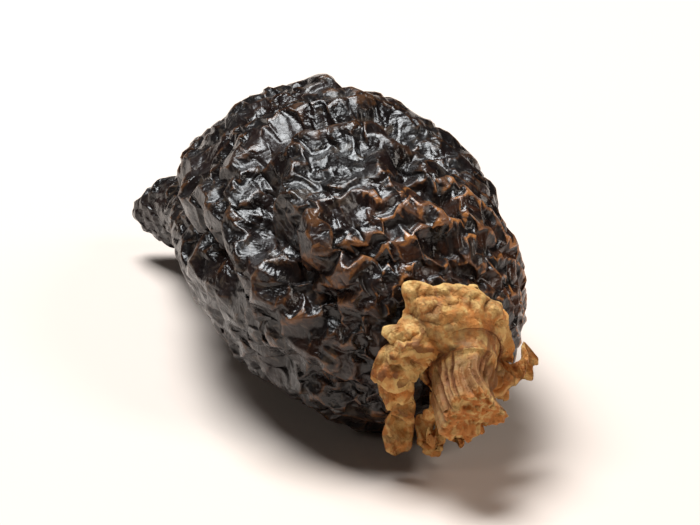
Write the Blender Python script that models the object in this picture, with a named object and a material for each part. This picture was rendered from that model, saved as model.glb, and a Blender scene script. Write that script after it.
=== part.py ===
"""A dried, smoked chilli pod lying on its side, with its calyx and cut stem.

Metres, +Z up. The pod lies along Y with its stem towards -Y. The origin is under the middle of the
whole pepper, on the surface that it lies on.
"""
import math

import bmesh
import bpy
import numpy as np
from mathutils import Vector, kdtree, noise

# Driving dimensions. The tables are in millimetres, and MM turns them into metres.
MM = 0.001
FLAT = 0.0

# Cross-sections of the pod from its stem end to its tip:
# place along Y, centre across X, centre height, half width, half height.
POD_SECTIONS = (
    (0.0, 0.0, 12.1, 0.0, 0.0),
    (0.8, -0.1, 12.2, 4.6, 4.5),
    (3.6, -0.8, 12.7, 9.2, 9.0),
    (10.5, -1.8, 14.0, 13.2, 13.0),
    (20.5, -2.2, 14.2, 15.0, 14.4),
    (31.5, -2.0, 14.2, 14.9, 14.4),
    (42.5, -1.6, 13.2, 12.8, 12.4),
    (51.5, -2.6, 10.2, 9.4, 9.1),
    (58.5, -5.2, 7.2, 6.0, 5.6),
    (63.0, -8.6, 5.6, 3.6, 3.4),
    (65.6, -11.4, 5.2, 0.0, 0.0),
)
POD_RINGS = 150
POD_SPOKES = 220
POD_TRIANGLES = 8600

# Panels of crumpled skin, broad ones first: width, length at the shoulder and on the body as a share
# of the width, depth in the middle per share of the width squared, and the random seed.
SKIN_PANELS = (
    (9.5, 0.50, 2.00, 3.4, 1),
    (4.7, 0.55, 1.40, 2.7, 2),
    (2.6, 0.65, 1.20, 1.1, 3),
)
SHOULDER_REACH = 9.0
PANEL_SPACING = 0.8
PANEL_DARTS = 9000
PANEL_UNEVEN = 0.22
PANEL_LEVEL = 0.2
PANEL_SUNK = 0.16
PANEL_NEIGHBOURS = 4
NOISE_SEED = 7
WANDER_SHARE = 0.30
WANDER_SPAN = 1.5

# Deep furrows of the shrunken pod: depth, half width, and the route as place along the pod and angle
# round it, from +X towards +Z.
FURROWS = (
    (3.4, 1.7, ((29, 104), (22, 134), (18, 143), (13, 149), (9, 153), (6, 161), (3.7, 176))),
    (1.7, 0.8, ((9.6, 153), (7.6, 143), (6.2, 131), (4.6, 115))),
    (1.5, 0.7, ((7.6, 158), (5.0, 144), (4.1, 130), (3.4, 112))),
    (2.2, 1.3, ((15, 196), (10, 202), (6.8, 205), (3.2, 206), (2.4, 225))),
    (2.2, 1.2, ((17, 74), (11.3, 82), (8.4, 75), (5.5, 64))),
    (3.0, 1.7, ((27, 124), (25, 95), (24, 79), (17.7, 66), (12, 52))),
    (1.6, 0.9, ((6.3, 78), (3.9, 88), (2.9, 66), (3.6, 38))),
    (3.2, 1.9, ((8, 28), (20, 16), (34, 24), (46, 34), (57, 42))),
    (2.8, 1.7, ((30, 72), (40, 62), (50, 78), (59, 98))),
    (2.4, 1.6, ((6, -36), (16, -28), (30, -38), (44, -26), (56, -18))),
    (2.8, 1.6, ((13, 174), (22, 167), (33, 173), (44, 164), (54, 158), (61, 146))),
    (2.0, 1.2, ((41, 116), (49, 122), (56, 118), (62, 130))),
)
FURROW_STEPS = 60
FURROW_SHARPNESS = 1.25
FURROW_LIP = 0.4
FURROW_LIP_PLACE = 2.2
FURROW_LIP_WIDTH = 0.9
FURROW_FADE = 0.22
FURROW_WANDER = 1.6
FURROW_WANDER_SPAN = 5.0

# Places where the skin stays smooth: along, angle, radius.
CALM_PATCHES = (
    (14.0, 100.0, 5.0),
    (7.5, 188.0, 5.0),
    (36.0, 140.0, 4.5),
    (33.0, 50.0, 5.0),
)
CALM_SHARE = 0.75
SEAT_SINKS = (5.0, 9.0)
SEAT_RISES = (9.5, 12.0)
TIP_CALM = 12.0
LYING_SNAP = 0.03

# The calyx seen from the stem: angle from +X towards +Z, reach of the rim over the pod, how far the
# lobe stands off it, how far out it stands highest (1 for half way), and how far round its edge
# curls in degrees.
CALYX_RIM = (
    (6, 8.6, 1.4, 1.0, 65),
    (24, 6.4, 0.8, 1.0, 15),
    (44, 7.8, 1.0, 1.0, 5),
    (66, 7.8, 1.1, 1.0, 5),
    (90, 8.2, 0.9, 1.0, 5),
    (112, 8.0, 1.1, 1.0, 5),
    (134, 8.8, 1.0, 1.1, 5),
    (156, 9.0, 0.9, 1.1, 10),
    (170, 5.4, 0.6, 1.0, 10),
    (184, 7.8, 2.4, 1.4, 5),
    (204, 9.4, 3.4, 1.8, 8),
    (226, 10.4, 3.3, 2.0, 15),
    (244, 9.6, 1.8, 1.8, 30),
    (255, 5.4, 0.2, 1.0, 15),
    (270, 7.6, 0.8, 1.2, 60),
    (288, 7.8, 0.8, 1.2, 70),
    (306, 5.4, 0.4, 1.0, 15),
    (328, 7.2, 1.2, 1.2, 50),
    (346, 5.6, 0.8, 1.0, 25),
)
CALYX_FOOT = 3.3
CALYX_FOOT_RISE = 3.6
CALYX_FOOT_RISE_REACH = 8.0
CALYX_BREADTH = 10.0
CALYX_THICKNESS = 0.95
CALYX_GAP = 0.35
CALYX_HINGE = 0.6
CALYX_PLEATS = ((0.9, 2.2), (0.5, 4.5))
CALYX_CRUMPLES = ((2.6, 3.1), (1.3, 1.6))

# The stem, from its foot on the calyx to its cut end: place along it and radius.
STEM_SECTIONS = (
    (0.0, 3.3),
    (1.0, 3.05),
    (2.2, 2.8),
    (5.0, 2.6),
    (7.4, 2.6),
    (9.0, 2.8),
    (9.5, 2.6),
)
STEM_DROOP = (-0.9, -2.6)
STEM_RIBS = 5
STEM_RIB_DEPTH = 0.10
STEM_FLUTES = 11
STEM_FLUTE_DEPTH = 0.06
STEM_END_RAGGED = 0.6
HUSK_SPOKES = 72
STEM_RINGS = 12
CALYX_RINGS = 9

SKIN_COLOUR = (0.020, 0.010, 0.008, 1.0)
HUSK_COLOUR = (0.47, 0.29, 0.10, 1.0)


def clear_scene():
    for obj in list(bpy.data.objects):
        bpy.data.objects.remove(obj)


def material(name, colour, roughness):
    made = bpy.data.materials.new(name)
    made.use_nodes = True
    shader = made.node_tree.nodes["Principled BSDF"]
    shader.inputs["Base Color"].default_value = colour
    shader.inputs["Roughness"].default_value = roughness
    shader.inputs["Metallic"].default_value = 0.0
    return made


def mesh_points(mesh):
    flat = np.empty(len(mesh.vertices) * 3)
    mesh.vertices.foreach_get("co", flat)
    return flat.reshape(-1, 3)


def set_mesh_points(mesh, points):
    mesh.vertices.foreach_set("co", points.ravel())
    mesh.update()


def mesh_triangles(mesh):
    corners = np.empty(len(mesh.loops), int)
    mesh.loops.foreach_get("vertex_index", corners)
    return corners.reshape(-1, 3)


def point_normals(triangles, points):
    """Unit normals at the points of a closed mesh of triangles."""
    first, second, third = (points[triangles[:, corner]] for corner in range(3))
    facing = np.cross(second - first, third - first)
    normals = np.zeros_like(points)
    for corner in range(3):
        for axis in range(3):
            normals[:, axis] += np.bincount(triangles[:, corner], facing[:, axis], len(points))
    return normals / np.linalg.norm(normals, axis=1, keepdims=True)


def smooth_step(low, high, value):
    t = np.clip((value - low) / (high - low), 0.0, 1.0)
    return t * t * (3.0 - 2.0 * t)


def spline(before, start, end, after, t):
    """Catmull-Rom blend of four neighbouring rows, at t from start (0) to end (1)."""
    return 0.5 * (
        2.0 * start
        + (end - before) * t
        + (2.0 * before - 5.0 * start + 4.0 * end - after) * t**2
        + (3.0 * start - before - 3.0 * end + after) * t**3
    )


def pod_sections(share):
    """Rows of POD_SECTIONS at these shares of the way from stem end to tip.

    Past each pole the next section repeats with its widths reversed, which keeps the ends round.
    """
    rows = np.array(POD_SECTIONS)
    across = np.array((1.0, 1.0, 1.0, -1.0, -1.0))
    rows = np.vstack((rows[1] * across, rows, rows[-2] * across))
    place = np.clip(share * (len(POD_SECTIONS) - 1), 0.0, len(POD_SECTIONS) - 1.000001)
    first = place.astype(int)
    t = (place - first)[:, None]
    return spline(rows[first], rows[first + 1], rows[first + 2], rows[first + 3], t)


def pod_surface(share, around):
    """Millimetre points of the uncrumpled pod, at shares of its length and angles round it."""
    along, across, height, half_width, half_height = pod_sections(share).T
    return np.stack(
        (across + half_width * np.cos(around), along, height + half_height * np.sin(around)), axis=1
    )


def smooth_pod(directions):
    """Points of the uncrumpled pod for unit directions whose +Z is the stem end."""
    share = np.arccos(np.clip(directions[:, 2], -1.0, 1.0)) / math.pi
    return pod_surface(share, np.arctan2(directions[:, 1], directions[:, 0]))


def surface_route(stops):
    """Points on the uncrumpled pod along a route of (along, angle in degrees) stops."""
    shares = np.linspace(0.0, 1.0, 201)
    lengths = pod_sections(shares)[:, 0]
    alongs, angles = np.array(stops, float).T
    steps = np.linspace(0.0, len(stops) - 1.0, FURROW_STEPS if len(stops) > 1 else 1)
    stop_numbers = np.arange(len(stops))
    share = np.interp(np.interp(steps, stop_numbers, alongs), lengths, shares)
    return pod_surface(share, np.radians(np.interp(steps, stop_numbers, angles)))


def distances(points, others):
    """Distance from each point to each of the others."""
    apart = points[:, None, :] - others[None, :, :]
    return np.sqrt((apart * apart).sum(axis=2))


def furrow_height(points, depth, half_width, stops):
    """Height of one furrow at the points: a sharp valley between two low lips."""
    route = surface_route(stops)
    swing = [noise.noise_vector(Vector(p) / FURROW_WANDER_SPAN) * FURROW_WANDER for p in route]
    away = distances(points, route + np.array(swing))
    ahead = away.argmin(axis=1) / (FURROW_STEPS - 1)
    ends = smooth_step(0.0, FURROW_FADE, ahead) * smooth_step(0.0, FURROW_FADE, 1.0 - ahead)
    across = away.min(axis=1) / half_width
    valley = np.exp(-(across**FURROW_SHARPNESS))
    lip = FURROW_LIP * np.exp(-(((across - FURROW_LIP_PLACE) / FURROW_LIP_WIDTH) ** 2))
    return depth * ends * (lip - valley)


def crowded(points, width, shoulder_share, body_share):
    """The points in panel widths, with Y stretched so that panels lie round the pod at its shoulder
    and run lengthwise on its body."""
    along = np.maximum(points[:, 1], 0.0)
    crowding = SHOULDER_REACH * (1.0 / shoulder_share - 1.0 / body_share)
    stretched = points[:, 1] / body_share + crowding * (1.0 - np.exp(-along / SHOULDER_REACH))
    return np.stack((points[:, 0], stretched, points[:, 2]), axis=1) / width


def panel_centres(sizes, seed):
    """A search tree of evenly scattered panel centres on the pod, each with its own depth."""
    random = np.random.default_rng(seed)
    share = np.arccos(random.uniform(-1.0, 1.0, PANEL_DARTS)) / math.pi
    around = random.uniform(-math.pi, math.pi, PANEL_DARTS)
    darts = crowded(pod_surface(share, around), *sizes)
    kept = np.empty((0, 3))
    for dart in darts:
        if len(kept) == 0 or distances(dart[None], kept).min() > PANEL_SPACING:
            kept = np.vstack((kept, dart))
    tree = kdtree.KDTree(len(kept))
    for number, centre in enumerate(kept):
        tree.insert(centre, number)
    tree.balance()
    return tree, random.uniform(0.0, PANEL_UNEVEN, len(kept))


def panel_height(points, sizes, seed):
    """Height of the crumpled skin: hollow panels with a sharp crest wherever two of them meet."""
    tree, rises = panel_centres(sizes, seed)
    span = sizes[0] * WANDER_SPAN
    shift = Vector((seed, seed, seed)) * SHOULDER_REACH
    wander = [noise.noise_vector(Vector(p) / span + shift) for p in points]
    moved = crowded(points + np.array(wander) * sizes[0] * WANDER_SHARE, *sizes)
    hollow = [
        min(away * away + rises[number] for _, number, away in tree.find_n(p, PANEL_NEIGHBOURS))
        for p in moved
    ]
    return np.array(hollow) - PANEL_LEVEL


def skin_freedom(points):
    """How freely the skin may sink and rise: not at all at the stem, and never up into the calyx."""
    from_stem = np.hypot(points[:, 0], points[:, 2] - POD_SECTIONS[0][2])
    shoulder = points[:, 1] < SHOULDER_REACH
    sinks = np.where(shoulder, smooth_step(*SEAT_SINKS, from_stem), 1.0)
    rises = np.where(shoulder, smooth_step(*SEAT_RISES, from_stem), 1.0)
    calm = np.ones(len(points))
    for along, angle, radius in CALM_PATCHES:
        away = distances(points, surface_route(((along, angle),)))[:, 0]
        calm = calm * (1.0 - CALM_SHARE * (1.0 - smooth_step(0.5 * radius, radius, away)))
    calm = calm * np.clip((POD_SECTIONS[-1][0] - points[:, 1]) / TIP_CALM, 0.0, 1.0) ** 0.5
    return sinks, rises, calm


def crumple(triangles, points):
    """The points moved along the skin's normal by the furrows and then by each set of panels."""
    start = points
    sinks, rises, calm = skin_freedom(start)
    height = sum(furrow_height(start, *furrow) for furrow in FURROWS)
    free = np.where(height > 0.0, rises, sinks)
    points = points + point_normals(triangles, points) * (height * free)[:, None]
    for width, shoulder_share, body_share, depth, seed in SKIN_PANELS:
        height = panel_height(start, (width, shoulder_share, body_share), seed)
        height = height - PANEL_SUNK * (1.0 - rises)
        free = np.where(height > 0.0, rises, sinks) * calm
        points = points + point_normals(triangles, points) * (height * free * depth)[:, None]
    return points


def add_object(name, mesh, finish, collection):
    mesh.materials.clear()
    mesh.materials.append(finish)
    obj = bpy.data.objects.new(name, mesh)
    collection.objects.link(obj)
    return obj


def make_pod(finish, collection):
    """The pod: a sphere drawn out through the sections, crumpled, and flat where it lies.

    The fine mesh is thinned in millimetres, before the flat spot, so that no edge costs nothing.
    """
    bm = bmesh.new()
    bmesh.ops.create_uvsphere(bm, u_segments=POD_SPOKES, v_segments=POD_RINGS, radius=1.0)
    bmesh.ops.triangulate(bm, faces=bm.faces)
    mesh = bpy.data.meshes.new("pod_skin")
    bm.to_mesh(mesh)
    bm.free()
    set_mesh_points(mesh, crumple(mesh_triangles(mesh), smooth_pod(mesh_points(mesh))))
    pod = add_object("pod", mesh, finish, collection)
    thin = pod.modifiers.new("Decimate", "DECIMATE")
    thin.ratio = POD_TRIANGLES / len(mesh.polygons)
    evaluated = pod.evaluated_get(bpy.context.evaluated_depsgraph_get())
    pod.data = bpy.data.meshes.new_from_object(evaluated)
    pod.modifiers.remove(thin)
    points = mesh_points(pod.data)
    points[:, 2] = np.where(points[:, 2] < LYING_SNAP, FLAT, points[:, 2])
    set_mesh_points(pod.data, points * MM)
    return pod


def rim_at(angle):
    """(reach, stand-off, its place, curl) of the calyx rim at an angle in degrees, from CALYX_RIM."""
    rows = [(row[0], np.array(row[1:])) for row in CALYX_RIM]
    count = len(rows)
    after = next((k for k, row in enumerate(rows) if row[0] > angle % 360.0), count)
    before, start, end, beyond = (rows[(after + k) % count] for k in (-2, -1, 0, 1))
    t = ((angle - start[0]) % 360.0) / ((end[0] - start[0]) % 360.0)
    return spline(before[1], start[1], end[1], beyond[1], t)


def foot_rise(angle):
    """How far up the stem the calyx starts: most on top."""
    return CALYX_FOOT_RISE * (0.5 + 0.5 * math.sin(angle)) ** 1.5


def shoulder_place(reach, around):
    """Point of the smooth pod this far from its stem end along the skin, onward and outward there."""
    shares = np.linspace(0.0, 0.35, 71)
    meridian = pod_surface(shares, np.full(len(shares), around))
    lengths = np.append(0.0, np.cumsum(np.linalg.norm(np.diff(meridian, axis=0), axis=1)))
    share = max(float(np.interp(reach, lengths, shares)), 0.002)
    nearby = pod_surface(
        np.array((share, share + 0.002, share)), np.array((around, around, around + 0.01))
    )
    point, onward, sideways = (Vector(p) for p in nearby)
    outward = (onward - point).cross(sideways - point).normalized()
    return point, (onward - point).normalized(), outward


def calyx_point(across, angle, above):
    """Millimetre point of the calyx: across the blank from its middle, and above its underside."""
    reach, stand, peak, curl = rim_at(math.degrees(angle))
    curl = math.radians(max(curl, 1.0))
    out = max(across - CALYX_FOOT, 0.0) / (CALYX_BREADTH - CALYX_FOOT)
    inside = min(out, 1.0)
    along = min(across, CALYX_FOOT) + out * (reach - CALYX_FOOT)
    hinge = CALYX_FOOT + (reach - CALYX_FOOT) * CALYX_HINGE
    flat = shoulder_place(along, angle)[0]
    place, onward, outward = shoulder_place(min(along, hinge), angle)
    turn = curl * max(along - hinge, 0.0) / (reach - hinge)
    radius = (reach - hinge) / curl
    around = Vector((math.cos(angle), math.sin(angle), 5.0))
    raised = foot_rise(angle) * min(across / CALYX_FOOT, 1.0 - inside) ** 1.3
    raised += stand * math.sin(math.pi * inside**peak) ** 0.7 if inside < 1.0 else 0.0
    raised += out * sum(depth * abs(noise.noise(around * scale)) for depth, scale in CALYX_PLEATS)
    for number, (depth, span) in enumerate(CALYX_CRUMPLES):
        raised += out * depth * abs(noise.noise(flat / span + Vector((3.7, 3.7, 3.7)) * number))
    place += outward * (CALYX_GAP + raised + radius * (1.0 - math.cos(turn)))
    place += onward * radius * math.sin(turn)
    return place + (outward * math.cos(turn) - onward * math.sin(turn)) * above


def stem_radius(along, angle):
    """Radius of the ribbed stem at this place along it and angle round it."""
    lengths, radii = zip(*STEM_SECTIONS)
    ribs = STEM_RIB_DEPTH * math.cos(STEM_RIBS * angle + 0.05 * along)
    ribs += STEM_FLUTE_DEPTH * math.cos(STEM_FLUTES * angle - 0.09 * along)
    return float(np.interp(along, lengths, radii)) * (1.0 + ribs)


def stem_point(across, angle, along):
    """Point of the stem from its foot: it leaves the calyx square to it, and then droops."""
    length = STEM_SECTIONS[-1][0]
    share = along / length
    radius = across / CALYX_FOOT * stem_radius(along, angle)
    spot = Vector((math.cos(angle), math.sin(angle), radius)) * 1.7
    ragged = STEM_END_RAGGED * noise.noise(spot) if share > 0.999 else 0.0
    drift = [total * share**2 for total in STEM_DROOP]
    lean = [2.0 * total * share / length for total in STEM_DROOP]
    x, up = radius * math.cos(angle), radius * math.sin(angle)
    low = max(1.0 - along / CALYX_FOOT_RISE_REACH, 0.0) ** 2
    out = along + low * foot_rise(angle) + ragged - x * lean[0] - up * lean[1]
    return Vector((x + drift[0], -out, up + drift[1]))


def turned_blank():
    """Profile of a stalk standing on a disc: from the middle of its end round to under the disc."""
    length = STEM_SECTIONS[-1][0]
    top = CALYX_THICKNESS
    widths = np.linspace(CALYX_FOOT, CALYX_BREADTH, CALYX_RINGS + 1)
    profile = [(0.0, top + length), (0.5 * CALYX_FOOT, top + length)]
    profile += [(CALYX_FOOT, top + step) for step in np.linspace(length, 0.6, STEM_RINGS)]
    profile += [(width, top) for width in widths[1:]]
    profile += [(CALYX_BREADTH + 0.2, 0.5 * top)]
    profile += [(width, 0.0) for width in widths[::-1]]
    return profile + [(0.5 * CALYX_FOOT, 0.0), (0.0, 0.0)]


def husk_point(across, angle, height):
    """Point of the calyx and stem for a point of the turned blank."""
    if height <= CALYX_THICKNESS:
        return calyx_point(across, angle, height)
    seat = calyx_point(0.0, 0.0, CALYX_THICKNESS)
    return seat + stem_point(across, angle, height - CALYX_THICKNESS)


def make_husk(finish, collection):
    """The calyx and its stem, one body: a turned blank shaped to the pod's shoulder."""
    bm = bmesh.new()
    line = [bm.verts.new((across, 0.0, height)) for across, height in turned_blank()]
    edges = [bm.edges.new(pair) for pair in zip(line, line[1:])]
    bmesh.ops.spin(
        bm,
        geom=line + edges,
        cent=(0.0, 0.0, 0.0),
        axis=(0.0, 0.0, 1.0),
        angle=math.tau,
        steps=HUSK_SPOKES,
        use_merge=True,
    )
    bmesh.ops.remove_doubles(bm, verts=bm.verts, dist=0.001)
    bmesh.ops.recalc_face_normals(bm, faces=bm.faces)
    for vert in bm.verts:
        across = math.hypot(vert.co.x, vert.co.y)
        vert.co = husk_point(across, math.atan2(vert.co.y, vert.co.x), vert.co.z) * MM
    bmesh.ops.triangulate(bm, faces=bm.faces)
    mesh = bpy.data.meshes.new("calyx_stem")
    bm.to_mesh(mesh)
    bm.free()
    return add_object("calyx_stem", mesh, finish, collection)


def rest_at_origin(objects):
    """Move the objects together so that the origin is under the middle of them all."""
    points = np.vstack([mesh_points(obj.data) for obj in objects])
    low, high = points.min(axis=0), points.max(axis=0)
    middle = Vector((*(0.5 * (low + high))[:2], low[2]))
    for obj in objects:
        obj.location -= middle


def main():
    clear_scene()
    noise.seed_set(NOISE_SEED)
    pepper = bpy.data.collections.new("chipotle_pepper")
    bpy.context.scene.collection.children.link(pepper)
    skin = material("dried_skin", SKIN_COLOUR, 0.35)
    husk = material("dried_husk", HUSK_COLOUR, 0.85)
    pod = make_pod(skin, pepper)
    calyx_stem = make_husk(husk, pepper)
    rest_at_origin((pod, calyx_stem))


main()
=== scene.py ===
"""The looks of a dried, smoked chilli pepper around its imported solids.

The pod lies along Y with its stem towards -Y. Tables are in millimetres from the middle of the
calyx's seat, on the ground, and SEAT puts that point in the frame of the solids.
"""

from __future__ import annotations

import logging
import math
from collections.abc import Callable
from dataclasses import dataclass, field
from enum import Enum

import bmesh
import bpy
import numpy as np
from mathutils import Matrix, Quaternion, Vector, kdtree, noise

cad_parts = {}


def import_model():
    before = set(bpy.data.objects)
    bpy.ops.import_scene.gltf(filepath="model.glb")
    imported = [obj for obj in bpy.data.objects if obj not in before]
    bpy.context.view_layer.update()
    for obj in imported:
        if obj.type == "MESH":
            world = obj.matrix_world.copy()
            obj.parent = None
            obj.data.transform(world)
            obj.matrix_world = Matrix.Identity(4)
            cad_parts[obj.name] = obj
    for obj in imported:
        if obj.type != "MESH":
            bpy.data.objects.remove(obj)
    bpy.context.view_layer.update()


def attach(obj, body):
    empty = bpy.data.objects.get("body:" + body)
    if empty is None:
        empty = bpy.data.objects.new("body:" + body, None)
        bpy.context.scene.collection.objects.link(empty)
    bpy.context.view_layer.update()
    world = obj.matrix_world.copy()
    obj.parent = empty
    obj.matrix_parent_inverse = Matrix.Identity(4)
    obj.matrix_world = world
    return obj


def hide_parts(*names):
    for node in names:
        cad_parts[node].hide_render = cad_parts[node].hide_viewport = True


log = logging.getLogger("pepper")

MM = 0.001
SEAT = (1.831, -26.493, 0.0)
SEAT_HEIGHT = 12.1
NOISE_SEED = 7
TINY = 1e-9
POLE_GAP = 1e-6
COURSE_END = 0.9999

Socket = bpy.types.NodeSocket
Colour = tuple[float, float, float, float]
Feed = Socket | float | tuple


class Slot(Enum):
    """The record's material slots."""

    SKIN = "dried_skin"
    HUSK = "dried_husk"


class Node(Enum):
    """The solids that the pieces stand for."""

    POD = "pod"
    HUSK = "calyx_stem"


def smooth_step(low: float, high: float, value: np.ndarray | float) -> np.ndarray | float:
    """A soft step.

    Args:
        low: Where the step starts.
        high: Where it ends.
        value: The values to step.

    Returns:
        0 before low, 1 after high, and a smooth rise between them.
    """
    t = np.clip((value - low) / (high - low), 0.0, 1.0)
    return t * t * (3.0 - 2.0 * t)


def spline(
    before: np.ndarray, start: np.ndarray, end: np.ndarray, after: np.ndarray, t: np.ndarray | float
) -> np.ndarray:
    """A Catmull-Rom blend of four neighbouring rows.

    Args:
        before: The row before start.
        start: The row at t 0.
        end: The row at t 1.
        after: The row after end.
        t: The share of the way from start to end.

    Returns:
        The blended row.
    """
    return 0.5 * (
        2.0 * start
        + (end - before) * t
        + (2.0 * before - 5.0 * start + 4.0 * end - after) * t**2
        + (3.0 * start - before - 3.0 * end + after) * t**3
    )


def distances(points: np.ndarray, others: np.ndarray) -> np.ndarray:
    """The distance from each point to each of the others.

    Args:
        points: The points, one to a row of the result.
        others: The others, one to a column.

    Returns:
        The distances.
    """
    squared = np.zeros((len(points), len(others)))
    for axis in range(3):
        squared += (points[:, None, axis] - others[None, :, axis]) ** 2
    return np.sqrt(squared)


def noise_at(
    points: np.ndarray, span: float, shift: float = 0.0, read: Callable = noise.noise
) -> np.ndarray:
    """Smooth random values or directions at points.

    Args:
        points: Where to read them.
        span: How far apart unlike ones lie.
        shift: Moves the pattern, for another draw of it.
        read: noise.noise for values of about -0.5 to 0.5, or noise.noise_vector for directions.

    Returns:
        One value or direction for each point.
    """
    move = Vector((shift, shift, shift))
    return np.array([read(Vector(p) / span + move) for p in points])


def triangles_of(bm: bmesh.types.BMesh) -> np.ndarray:
    """Cut a bmesh's faces into triangles.

    Args:
        bm: The bmesh.

    Returns:
        The numbers of each triangle's three corners.
    """
    bmesh.ops.triangulate(bm, faces=bm.faces)
    bm.verts.index_update()
    return np.array([[vert.index for vert in face.verts] for face in bm.faces])


def mesh_of(name: str, bm: bmesh.types.BMesh) -> bpy.types.Mesh:
    """Turn a bmesh into a mesh, and free it.

    Args:
        name: The mesh's name.
        bm: The bmesh.

    Returns:
        The mesh.
    """
    mesh = bpy.data.meshes.new(name)
    bm.to_mesh(mesh)
    bm.free()
    return mesh


def linked(name: str, data: bpy.types.ID) -> bpy.types.Object:
    """A new object in the scene.

    Args:
        name: Its name.
        data: Its mesh, lamp or camera.

    Returns:
        The object.
    """
    thing = bpy.data.objects.new(name, data)
    bpy.context.scene.collection.objects.link(thing)
    return thing


def finished(
    mesh: bpy.types.Mesh,
    points: np.ndarray,
    layers: dict[str, np.ndarray],
    material: bpy.types.Material,
) -> bpy.types.Object:
    """A finished piece, with its place in its mesh.

    Args:
        mesh: The mesh, which names the piece.
        points: Where its points lie, in millimetres.
        layers: The point attributes that its material reads, by name.
        material: What it is dressed in.

    Returns:
        The piece, at the origin of the frame.
    """
    mesh.vertices.foreach_set("co", ((points + np.array(SEAT)) * MM).ravel())
    for name, values in layers.items():
        attribute = mesh.attributes.new(name, "FLOAT", "POINT")
        attribute.data.foreach_set("value", values.astype(np.float32))
    mesh.shade_smooth()
    mesh.update()
    mesh.materials.append(material)
    return linked(mesh.name, mesh)


@dataclass(frozen=True)
class Shrinkage:
    """How a skin gives as the flesh under it shrinks.

    bending is its stiffness against folding, bed is how firmly each point is held near where it
    started, and crease is the strain at which a fold gives way and turns sharp.
    """

    steps: int
    bending: float
    bed: float
    crease: float


@dataclass(frozen=True)
class Facets:
    """How a skin crumples into flat facets.

    rounds is how often each triangle's slope blends with its neighbours', tolerance is how unlike
    two slopes may be before a crease parts them, as 1 - cosine, and settle is how often the points
    then move towards the slopes.
    """

    rounds: int
    tolerance: float
    settle: int


PAPER = Shrinkage(steps=60, bending=0.10, bed=0.02, crease=0.05)
PAPER_FACETS = Facets(rounds=8, tolerance=0.05, settle=8)


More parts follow.
